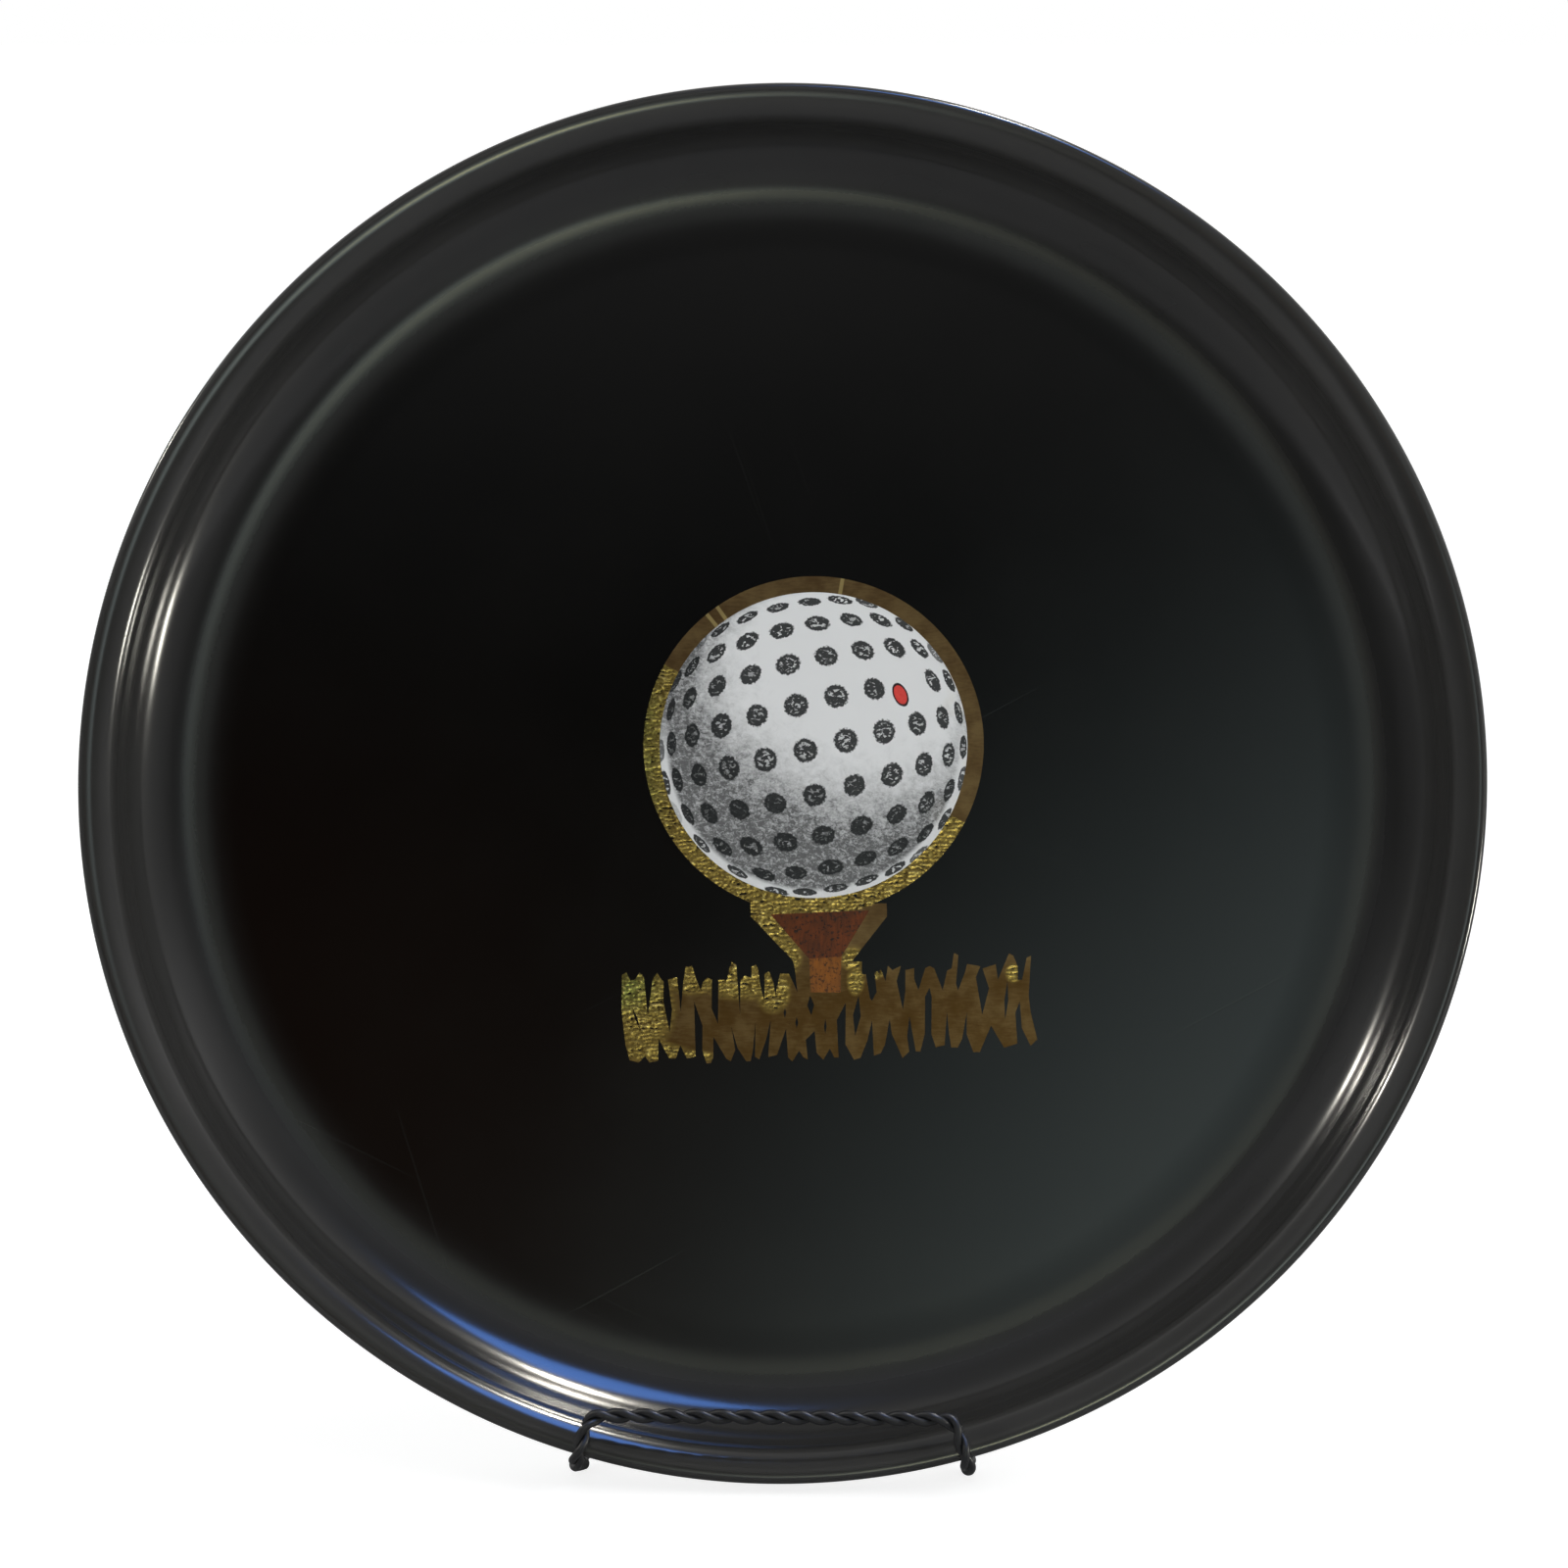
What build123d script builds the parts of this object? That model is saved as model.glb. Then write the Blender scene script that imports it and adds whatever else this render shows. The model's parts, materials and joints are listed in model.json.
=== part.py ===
"""A round inlaid serving tray leaning on a folding twisted-wire plate stand.

Millimetres, +Z up, the tray's face towards -Y, origin at the middle of the footprint on the table.
The tray and everything fixed to it is drawn in a leaning frame: x to the right, y up along the
tray, z out of its face, with 0, 0, 0 at the middle of the flat well.
"""
from build123d import *
from math import atan, cos, degrees, hypot, radians, sin, sqrt
import os

# ---- tray: one moulded shell of black phenolic resin ----
tray_r = 158.75            # 12.5 in across
well_r = 134.0             # the flat well ends here and the rim starts to climb
wall = 3.0
rim_rise = 18.5            # well face to the crest of the rim
rim_foot_share = 0.69      # how much of the rim's S is its lower, hollow curve
inlay_t = 0.6              # inlays are let in flush with the well

# ---- golf ball inlay ----
ball_x, ball_y = 7.1, 8.5
ball_r = 35.2
ring_r = 38.9              # outside of the brass ring
# the ring is three strips of foil; they butt together at these angles
ring_seams = (80.6, 125.2, 331.2)

# ---- stand: two strands twisted into a rope of this radius ----
wire_r = 1.7
lean = 15.0                # the tray leans back this far from upright
half_width = 43.5          # middle of the tray to the middle of each upright
gap = 0.3                  # air between the tray and the wire that carries it
lip_h = 23.5               # lip bar in front of the well face
lip_y = -144.0
lip_half = 40.5
wire_bend = 4.5            # the frame stands on its two lower bends
weld_h = 8.0               # frame and ledge are butt-welded here, under the tray's edge
arch_y = 24.0              # the uprights are straight up to here, then meet in an arch

# ---- back leg ----
rod_r = 1.5                # hinge rod, welded across the backs of the uprights
rod_bite = 0.5             # how far the weld sinks the rod into them
rod_half = 47.0
hinge_y = 8.0
eye_r = 2.7                # eyes rolled round the rod
eye_length = 9.0
running_fit = 0.08
leg_half = 36.5
leg_corner = 14.0
leg_splay = 20.0           # the open leg stands this far from upright
bail_r = 1.2               # wire bail that stops the leg
bail_reach = 24.0          # hinge to the bail, along the leg
bail_bend = 3.5

# ---- worked out from the above ----
frame_h = -(wall + gap + wire_r)
arm_y = -sqrt((tray_r + gap + wire_r) ** 2 - half_width ** 2)
hinge_h = frame_h - wire_r - rod_r + rod_bite
sin_lean, cos_lean = sin(radians(lean)), cos(radians(lean))
sin_splay, cos_splay = sin(radians(leg_splay)), cos(radians(leg_splay))
foot_bend_h, foot_bend_y = frame_h + wire_bend, arm_y + wire_bend
centre_z = wire_bend + wire_r - foot_bend_h * sin_lean - foot_bend_y * cos_lean
hinge_z = centre_z + hinge_h * sin_lean + hinge_y * cos_lean
leg_length = (hinge_z - wire_r) / cos_splay
# the front of the whole is the ledge's lower bend, where each arm turns up towards the lip bar
riser_rise = (lip_y - arm_y) / hypot(lip_y - arm_y, half_width - lip_half)
bend_centre_h, bend_centre_y = lip_h - wire_bend, arm_y + wire_bend * riser_rise
bend_reach = wire_bend * hypot(cos_lean, riser_rise * sin_lean) + wire_r
front_reach = bend_centre_h * cos_lean - bend_centre_y * sin_lean + bend_reach
back_reach = -hinge_h * cos_lean + hinge_y * sin_lean + leg_length * sin_splay + wire_r
centre_y = (front_reach - back_reach) / 2

tray_centre = Vector(0, centre_y, centre_z)
outward = Vector(0, -cos_lean, sin_lean)
upward = Vector(0, sin_lean, cos_lean)
tray_face = Plane(origin=tray_centre, x_dir=(1, 0, 0), z_dir=outward)
tray_section = Plane(origin=tray_centre, x_dir=(1, 0, 0), z_dir=-upward)
hinge_point = tray_centre + outward * hinge_h + upward * hinge_y
leg_plane = Plane(origin=hinge_point, x_dir=(1, 0, 0), z_dir=(0, -cos_splay, -sin_splay))

pieces = {}


def keep(name, part):
    """Label a finished piece and put it on the list to write."""
    part.label = name
    pieces[name] = part


def inlay(name, outline):
    """Let a flat sheet with the given outline into the well."""
    with BuildPart() as sheet:
        extrude(outline, amount=-inlay_t)
    keep(name, sheet.part)


def slit(start, end, width):
    """The four corners of a long thin cut, widest in the middle."""
    mid_x, mid_y = (start[0] + end[0]) / 2, (start[1] + end[1]) / 2
    length = hypot(end[0] - start[0], end[1] - start[1])
    side_x = (end[1] - start[1]) / length * width / 2
    side_y = (start[0] - end[0]) / length * width / 2
    return [start, (mid_x + side_x, mid_y + side_y), end, (mid_x - side_x, mid_y - side_y)]


# ---- golf ball: a white printed disc in a brass ring ----
with BuildSketch(tray_face) as ball_outline:
    with Locations((ball_x, ball_y)):
        Circle(ball_r)
inlay("ball_disc", ball_outline.sketch)

# the collar and the cup of the tee notch the ring from below
collar_left, collar_right = (-1.5, -28.0), (24.1, -27.8)
cup_left, cup_right = (-2.3, -30.5), (20.2, -29.4)


def ring_strip(start, end):
    """The sector of the brass ring between two seams, less the tee's notch."""
    with BuildSketch(tray_face) as strip:
        with Locations((ball_x, ball_y)):
            Circle(ring_r)
            Circle(ball_r, mode=Mode.SUBTRACT)
        with BuildLine():
            middle = radians((start + end) / 2)
            reach = 2 * ring_r
            corners = [(ball_x, ball_y)]
            steps = 8
            for step in range(steps + 1):
                angle = radians(start + (end - start) * step / steps)
                corners.append((ball_x + reach * cos(angle), ball_y + reach * sin(angle)))
            Polyline(*corners, close=True)
        make_face(mode=Mode.INTERSECT)
        with BuildLine():
            Polyline(collar_left, collar_right, (24.4, -33.0), (-4.0, -33.0), close=True)
        make_face(mode=Mode.SUBTRACT)
    return strip.sketch


inlay("ring_strip_right", ring_strip(ring_seams[2] - 360, ring_seams[0]))
inlay("ring_strip_top", ring_strip(ring_seams[0], ring_seams[1]))
inlay("ring_strip_left", ring_strip(ring_seams[1], ring_seams[2]))


# ---- tee: a wooden cup and stem, edged with brass ----
def polygon_face(*corners, clear_of_ring=False):
    """A flat outline in the well, cut back to the ball ring where it would cross it."""
    with BuildSketch(tray_face) as outline:
        with BuildLine():
            Polyline(*corners, close=True)
        make_face()
        if clear_of_ring:
            with Locations((ball_x, ball_y)):
                Circle(ring_r, mode=Mode.SUBTRACT)
    return outline.sketch


stem_top_left, stem_top_right = (6.6, -40.6), (13.9, -40.0)
stem_left, stem_right = (7.0, -48.2), (13.8, -48.2)

inlay("tee_collar", polygon_face(collar_left, collar_right, (24.2, -29.3), cup_right, cup_left))
inlay("tee_cup", polygon_face(cup_left, cup_right, stem_top_right, stem_top_left))
inlay("tee_stem", polygon_face(stem_top_left, stem_top_right, stem_right, stem_left))
inlay(
    "tee_edge_left",
    polygon_face(
        (-7.0, -25.0), (-6.8, -31.0), (2.8, -40.9), (3.3, -42.4), (4.0, -48.2),
        stem_left, stem_top_left, cup_left, collar_left, (-1.0, -25.0),
        clear_of_ring=True,
    ),
)
inlay(
    "tee_edge_right",
    polygon_face(
        (24.2, -29.3), (24.2, -30.8), (16.3, -41.1), (18.6, -41.1), (18.6, -48.2),
        stem_right, stem_top_right, cup_right,
    ),
)

# ---- grass: five hand-cut combs of brass, side by side ----
# each comb is its tips and slots from left to right, then its feet and slots from right to left
grass_1 = [
    (-36.0, -44.5), (-35.0, -44.0), (-34.0, -46.0), (-33.0, -45.5), (-32.0, -44.0), (-31.0, -45.0),
    (-30.5, -49.5), (-30.0, -54.0), (-29.5, -49.5), (-29.0, -45.5), (-28.0, -44.0), (-27.0, -45.5),
    (-26.5, -46.0), (-26.5, -50.5), (-25.0, -57.5), (-24.5, -52.5), (-25.5, -45.5), (-23.5, -45.0),
    (-23.0, -48.5), (-22.5, -53.0),
    (-22.5, -60.5), (-23.5, -63.5), (-25.0, -63.5), (-27.5, -59.0), (-27.5, -64.0), (-29.5, -64.5),
    (-30.5, -63.0), (-32.0, -64.5), (-34.0, -64.0), (-35.0, -60.5), (-36.0, -52.5),
]
grass_2 = [
    (-22.5, -53.0), (-22.0, -46.0), (-21.5, -42.5), (-20.0, -42.5), (-19.0, -45.5), (-18.0, -48.0),
    (-17.5, -46.0), (-16.5, -45.0), (-15.5, -45.5), (-15.5, -52.0), (-14.0, -55.5), (-14.0, -46.5),
    (-14.0, -45.5), (-12.0, -45.5), (-11.5, -42.5), (-11.0, -41.5), (-10.0, -42.0), (-9.0, -53.5),
    (-5.5, -55.0), (-6.0, -61.5), (-6.5, -64.0), (-7.5, -64.0), (-9.5, -61.0), (-11.0, -56.0),
    (-10.0, -61.5), (-11.0, -64.0), (-12.0, -63.5), (-15.0, -58.5), (-15.0, -63.0), (-15.5, -64.5),
    (-16.5, -64.5), (-17.5, -61.5), (-17.5, -56.0), (-19.5, -50.5), (-19.0, -63.0), (-21.0, -63.5),
    (-22.5, -60.5),
]
grass_3 = [
    (-9.0, -53.5), (-9.0, -45.5), (-8.0, -44.5), (-6.5, -45.0), (-6.5, -42.5), (-5.5, -42.0),
    (-5.0, -43.0), (-4.5, -46.5), (-3.5, -50.5), (-3.5, -44.0), (-2.5, -43.5), (-1.5, -46.0),
    (-1.0, -49.0), (0.0, -44.0), (2.0, -44.0), (3.0, -46.0), (4.0, -48.2), stem_left, stem_right,
    (15.0, -50.5),
    (13.0, -54.5), (13.5, -63.0), (12.5, -63.0), (11.5, -61.0), (10.0, -63.5), (8.5, -62.0),
    (8.0, -57.0), (6.0, -59.0), (6.5, -63.5), (5.5, -63.0), (4.5, -61.5), (3.0, -64.0), (2.0, -63.0),
    (1.5, -56.5), (-0.5, -62.5), (-2.5, -63.0), (-2.0, -54.5), (-3.0, -59.0), (-4.5, -63.5),
    (-5.5, -63.0), (-5.5, -55.0),
]
grass_4 = [
    (15.0, -50.5), stem_right, (18.6, -48.2), (18.6, -44.0), (19.5, -44.0), (20.5, -49.5),
    (21.0, -50.0), (22.0, -48.0), (21.5, -43.5), (23.0, -43.0), (24.0, -45.5), (24.5, -42.0),
    (25.5, -43.0), (27.5, -42.0), (26.5, -45.5), (28.0, -52.0), (28.5, -48.0), (28.5, -43.0),
    (30.5, -42.5), (30.5, -45.0), (31.5, -47.5), (33.0, -42.5), (34.0, -42.0), (35.0, -42.5),
    (36.0, -45.0), (37.0, -47.5),
    (38.0, -52.5), (37.5, -60.0), (35.5, -60.5), (34.5, -57.5), (34.5, -49.0), (34.0, -47.0),
    (33.0, -49.0), (33.0, -57.5), (32.0, -61.5), (31.0, -61.5), (29.5, -53.5), (29.0, -58.0),
    (29.5, -61.5), (28.0, -63.0), (25.5, -57.5), (25.0, -54.0), (24.0, -60.0), (23.0, -62.0),
    (21.5, -62.5), (21.0, -54.5), (20.0, -59.0), (18.5, -63.0), (17.0, -63.5), (15.0, -60.0),
    (15.0, -54.5),
]
grass_5 = [
    (37.0, -47.5), (38.0, -43.0), (39.0, -42.5), (39.5, -39.0), (40.5, -39.5), (40.0, -46.0),
    (40.5, -47.5), (42.0, -43.5), (42.5, -41.5), (45.5, -42.0), (44.5, -44.5), (46.0, -53.0),
    (47.5, -47.0), (46.0, -42.5), (49.0, -41.5), (49.5, -45.0), (52.0, -39.0), (53.0, -39.5),
    (54.0, -42.0), (54.0, -45.0), (55.0, -45.0), (56.0, -40.0), (57.0, -39.5), (56.5, -48.5),
    (57.0, -52.5), (58.5, -58.5), (57.0, -60.0), (55.0, -56.0), (54.5, -50.0), (53.5, -52.5),
    (54.0, -59.5), (51.0, -60.5), (48.0, -55.5), (45.5, -61.5), (44.0, -61.5), (42.5, -57.5),
    (42.5, -52.5), (41.5, -58.5), (40.5, -60.5), (39.0, -60.5), (38.5, -57.5), (38.0, -52.5),
]
# closed slits inside the combs: two ends and the width
grass_slits = {
    "grass_1": [((-33.6, -51.8), (-31.7, -57.1), 0.6)],
    "grass_3": [((6.9, -48.9), (7.2, -53.4), 1.6), ((3.9, -53.8), (3.9, -56.5), 0.6),
                ((1.2, -51.8), (1.2, -54.1), 0.6), ((10.4, -54.2), (10.4, -57.7), 0.6)],
    "grass_4": [((17.9, -48.9), (17.2, -58.0), 1.8)],
    "grass_5": [((51.7, -45.2), (51.2, -54.1), 0.9)],
}
for name, corners in (
    ("grass_1", grass_1), ("grass_2", grass_2), ("grass_3", grass_3), ("grass_4", grass_4),
    ("grass_5", grass_5),
):
    with BuildSketch(tray_face) as comb:
        with BuildLine():
            Polyline(*corners, close=True)
        make_face()
        for start, end, width in grass_slits.get(name, []):
            with BuildLine():
                Polyline(*slit(start, end, width), close=True)
            make_face(mode=Mode.SUBTRACT)
    inlay(name, comb.sketch)
inlays = list(pieces.values())

# ---- tray body: the shell's section turned about its own axis, less the inlay pockets ----
lip_edge = wall / 2
rim_run = tray_r - lip_edge - well_r
rim_slope = 2 * degrees(atan(rim_rise / rim_run))
rim_radii = rim_run / sin(radians(rim_slope))
hollow_r = rim_radii * rim_foot_share
crest_r = rim_radii - hollow_r

with BuildPart() as tray_body:
    with BuildSketch(tray_section):
        with BuildLine():
            Line((0, 0), (well_r, 0))
            hollow = JernArc((well_r, 0), (1, 0), hollow_r, rim_slope)
            crest = JernArc(hollow @ 1, hollow % 1, crest_r, -rim_slope)
            edge = JernArc(crest @ 1, crest % 1, lip_edge, -180)
            crest_back = JernArc(edge @ 1, edge % 1, crest_r - wall, rim_slope)
            hollow_back = JernArc(crest_back @ 1, crest_back % 1, hollow_r + wall, -rim_slope)
            Polyline(hollow_back @ 1, (0, -wall), (0, 0))
        make_face()
    revolve(axis=Axis(tray_centre, outward))
    for sheet in inlays:
        add(sheet, mode=Mode.SUBTRACT)
keep("tray_body", tray_body.part)

# ---- front frame: one twisted wire, up from each arm, round a bend and over an arch ----
with BuildPart() as front_frame:
    with BuildLine(tray_face) as frame_path:
        FilletPolyline(
            (-half_width, arm_y, weld_h), (-half_width, arm_y, frame_h), (-half_width, arch_y, frame_h),
            radius=wire_bend,
        )
        ThreePointArc(
            (-half_width, arch_y, frame_h), (0, arch_y + half_width, frame_h),
            (half_width, arch_y, frame_h),
        )
        FilletPolyline(
            (half_width, arch_y, frame_h), (half_width, arm_y, frame_h), (half_width, arm_y, weld_h),
            radius=wire_bend,
        )
    with BuildSketch(Plane(origin=frame_path.line @ 0, z_dir=frame_path.line % 0)):
        Circle(wire_r)
    sweep()
keep("front_frame", front_frame.part)

# ---- ledge: the arms go on forward, turn up and are joined by the lip bar ----
with BuildPart() as ledge:
    with BuildLine(tray_face) as ledge_path:
        FilletPolyline(
            (-half_width, arm_y, weld_h), (-half_width, arm_y, lip_h),
            (-lip_half, lip_y, lip_h), (lip_half, lip_y, lip_h),
            (half_width, arm_y, lip_h), (half_width, arm_y, weld_h),
            radius=wire_bend,
        )
    with BuildSketch(Plane(origin=ledge_path.line @ 0, z_dir=ledge_path.line % 0)):
        Circle(wire_r)
    sweep()
keep("ledge", ledge.part)

# ---- hinge rod, welded across the backs of the uprights ----
rod_plane = Plane(origin=hinge_point, x_dir=(0, 0, 1), z_dir=(1, 0, 0))
with BuildPart() as hinge_rod:
    with BuildSketch(rod_plane.offset(-rod_half)):
        Circle(rod_r)
    extrude(amount=2 * rod_half)
    chamfer(hinge_rod.edges().filter_by(GeomType.CIRCLE), 0.4)
    add(front_frame.part, mode=Mode.SUBTRACT)
keep("hinge_rod", hinge_rod.part)

# ---- bail: a wire behind the uprights that the open leg rests against ----
swing = radians(lean + leg_splay)
bail_offset = wire_r + bail_r + running_fit
bail_y = hinge_y - bail_reach * cos(swing) + bail_offset * sin(swing)
bail_h = hinge_h - bail_reach * sin(swing) - bail_offset * cos(swing)
with BuildPart() as leg_bail:
    with BuildLine(tray_face) as bail_path:
        FilletPolyline(
            (-half_width, bail_y, frame_h), (-half_width, bail_y, bail_h),
            (half_width, bail_y, bail_h), (half_width, bail_y, frame_h),
            radius=bail_bend,
        )
    with BuildSketch(Plane(origin=bail_path.line @ 0, z_dir=bail_path.line % 0)):
        Circle(bail_r)
    sweep()
    add(front_frame.part, mode=Mode.SUBTRACT)
    split(bisect_by=tray_face.offset(frame_h), keep=Keep.BOTTOM)
keep("leg_bail", leg_bail.part)

# ---- back leg: a U of twisted wire hung from two rolled eyes ----
for name, side in (("leg_eye_left", -1), ("leg_eye_right", 1)):
    with BuildPart() as eye:
        with BuildSketch(rod_plane.offset(side * leg_half - eye_length / 2)):
            Circle(eye_r)
            Circle(rod_r + running_fit, mode=Mode.SUBTRACT)
        extrude(amount=eye_length)
        chamfer(eye.edges().filter_by(GeomType.CIRCLE).group_by(SortBy.RADIUS)[-1], 0.4)
    keep(name, eye.part)

with BuildPart() as back_leg:
    with BuildLine(leg_plane) as leg_path:
        FilletPolyline(
            (-leg_half, -rod_r), (-leg_half, -leg_length), (leg_half, -leg_length), (leg_half, -rod_r),
            radius=leg_corner,
        )
    with BuildSketch(Plane(origin=leg_path.line @ 0, z_dir=leg_path.line % 0)):
        Circle(wire_r)
    sweep()
    # the leg's two ends are saddled to the outside of the eyes
    with BuildSketch(rod_plane.offset(-rod_half)):
        Circle(eye_r)
    extrude(amount=2 * rod_half, mode=Mode.SUBTRACT)
keep("back_leg", back_leg.part)

os.makedirs("parts", exist_ok=True)
for name, part in pieces.items():
    export_step(part, f"parts/{name}.step")
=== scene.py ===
"""Looks of the round inlaid tray on its twisted-wire stand: metres, in the CAD frame.

The tray is drawn in its own leaning frame, x to the right, y up along the tray and z out of its
face, with 0, 0, 0 at the middle of the well.
"""
import json
from math import atan, atan2, cos, degrees, hypot, pi, radians, sin, sqrt, tan

import bmesh
import bpy
import numpy as np
from mathutils import Matrix, Vector, geometry, noise


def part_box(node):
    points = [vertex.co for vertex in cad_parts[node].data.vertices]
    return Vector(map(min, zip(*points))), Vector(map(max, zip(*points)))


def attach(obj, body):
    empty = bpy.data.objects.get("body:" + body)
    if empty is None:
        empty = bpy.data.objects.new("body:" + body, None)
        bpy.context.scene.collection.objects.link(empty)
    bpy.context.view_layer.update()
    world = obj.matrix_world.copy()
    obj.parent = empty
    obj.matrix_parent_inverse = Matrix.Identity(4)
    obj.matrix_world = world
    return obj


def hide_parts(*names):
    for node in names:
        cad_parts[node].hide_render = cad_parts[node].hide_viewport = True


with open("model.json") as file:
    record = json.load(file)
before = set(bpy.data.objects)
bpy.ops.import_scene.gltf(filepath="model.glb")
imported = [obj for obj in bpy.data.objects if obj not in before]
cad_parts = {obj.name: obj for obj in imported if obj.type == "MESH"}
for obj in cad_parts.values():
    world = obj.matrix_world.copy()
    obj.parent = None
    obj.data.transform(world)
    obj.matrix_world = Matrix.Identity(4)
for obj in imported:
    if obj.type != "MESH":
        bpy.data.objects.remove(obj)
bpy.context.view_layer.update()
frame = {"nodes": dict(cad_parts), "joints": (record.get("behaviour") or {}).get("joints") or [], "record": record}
record = frame["record"]
MM = 0.001

# ---- where the tray is: its frame from the well's mount and the direction it lifts in ----
mounts = {mount["name"]: mount for mount in record["mounts"]}
joints = {joint["name"]: joint for joint in frame["joints"]}
mount_below_centre = 100 * MM
outward = Vector(mounts["well_face"]["axis"]).normalized()
upward = Vector(joints["tray_lift"]["axis"]).normalized()
across = upward.cross(outward)
well_centre = Vector(mounts["well_face"]["pos_m"]) + mount_below_centre * upward
tray_frame = Matrix.Translation(well_centre) @ Matrix((across, upward, outward)).transposed().to_4x4()

# ---- dimensions shared with the CAD model ----
well_r = 134.0 * MM
tray_r = 158.75 * MM
ball_x, ball_y, ball_r, ring_r = 7.1 * MM, 8.5 * MM, 35.2 * MM, 38.9 * MM
wire_r = 1.7 * MM


# ---------------------------------------------------------------- shader formulas
class Value:
    """A number at every point of a surface, so that a pattern reads like its formula."""

    def __init__(self, tree, socket):
        self.tree, self.socket = tree, socket

    def math(self, operation, *others, clamp=False):
        node = self.tree.nodes.new("ShaderNodeMath")
        node.operation, node.use_clamp = operation, clamp
        for slot, value in zip(node.inputs, (self, *others)):
            feed(self.tree, slot, value)
        return Value(self.tree, node.outputs[0])

    def __add__(self, other):
        return self.math("ADD", other)

    def __sub__(self, other):
        return self.math("SUBTRACT", other)

    def __mul__(self, other):
        return self.math("MULTIPLY", other)

    def __truediv__(self, other):
        return self.math("DIVIDE", other)

    def flipped(self):
        """One minus the value."""
        return (self * -1) + 1

    def step(self, low, high):
        """0 below low, 1 above high and smooth in between."""
        node = self.tree.nodes.new("ShaderNodeMapRange")
        node.interpolation_type = "SMOOTHSTEP"
        feed(self.tree, node.inputs["Value"], self)
        feed(self.tree, node.inputs["From Min"], low)
        feed(self.tree, node.inputs["From Max"], high)
        return Value(self.tree, node.outputs["Result"])


def feed(tree, slot, value):
    """Wire a value into a socket, or set the socket to a plain number or colour."""
    if isinstance(value, Value):
        tree.links.new(value.socket, slot)
    else:
        slot.default_value = value


def length_of(x, y):
    return (x * x + y * y).math("SQRT")


class Finish:
    """A procedural material being built on one Principled shader."""

    def __init__(self, name):
        self.material = bpy.data.materials.new(name)
        self.material.use_nodes = True
        self.tree = self.material.node_tree
        self.shader = self.tree.nodes["Principled BSDF"]
        self.place = self.tree.nodes.new("ShaderNodeTexCoord").outputs["Object"]

    def along(self, axis, origin=well_centre):
        """How far a point of the surface is from the origin, along an axis."""
        shift = self.tree.nodes.new("ShaderNodeVectorMath")
        shift.operation = "SUBTRACT"
        self.tree.links.new(self.place, shift.inputs[0])
        shift.inputs[1].default_value = origin
        dot = self.tree.nodes.new("ShaderNodeVectorMath")
        dot.operation = "DOT_PRODUCT"
        self.tree.links.new(shift.outputs[0], dot.inputs[0])
        dot.inputs[1].default_value = axis
        return Value(self.tree, dot.outputs["Value"])

    def painted(self, name):
        """A number stored on the mesh's points."""
        node = self.tree.nodes.new("ShaderNodeAttribute")
        node.attribute_name = name
        return Value(self.tree, node.outputs["Fac"])

    def vector(self, x, y, z=0.0):
        node = self.tree.nodes.new("ShaderNodeCombineXYZ")
        for slot, value in zip(node.inputs, (x, y, z)):
            feed(self.tree, slot, value)
        return node.outputs[0]

    def noise(self, grain, at=None, detail=3.0, rough=0.5, twist=0.0):
        """Soft noise from 0 to 1 with spots of about the given size in metres."""
        node = self.tree.nodes.new("ShaderNodeTexNoise")
        self.tree.links.new(at or self.place, node.inputs["Vector"])
        node.inputs["Scale"].default_value = 1 / grain
        node.inputs["Detail"].default_value = detail
        node.inputs["Roughness"].default_value = rough
        node.inputs["Distortion"].default_value = twist
        return Value(self.tree, node.outputs["Fac"])

    def blend(self, share, first, second):
        """A colour between two colours."""
        node = self.tree.nodes.new("ShaderNodeMix")
        node.data_type = "RGBA"
        feed(self.tree, node.inputs["Factor"], share)
        for slot, value in ((node.inputs[6], first), (node.inputs[7], second)):
            feed(self.tree, slot, value if isinstance(value, Value) else (*value, 1.0))
        return Value(self.tree, node.outputs[2])

    def set(self, **inputs):
        """Set the shader's sockets by name, with _ for a space."""
        for name, value in inputs.items():
            slot = self.shader.inputs[name.replace("_", " ")]
            if isinstance(value, tuple):
                value = (*value, 1.0)
            feed(self.tree, slot, value)

    def bump(self, height, depth):
        """Relief of the given depth in metres for a height from 0 to 1."""
        node = self.tree.nodes.new("ShaderNodeBump")
        node.inputs["Strength"].default_value = 1.0
        node.inputs["Distance"].default_value = depth
        feed(self.tree, node.inputs["Height"], height)
        self.tree.links.new(node.outputs[0], self.shader.inputs["Normal"])


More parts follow.
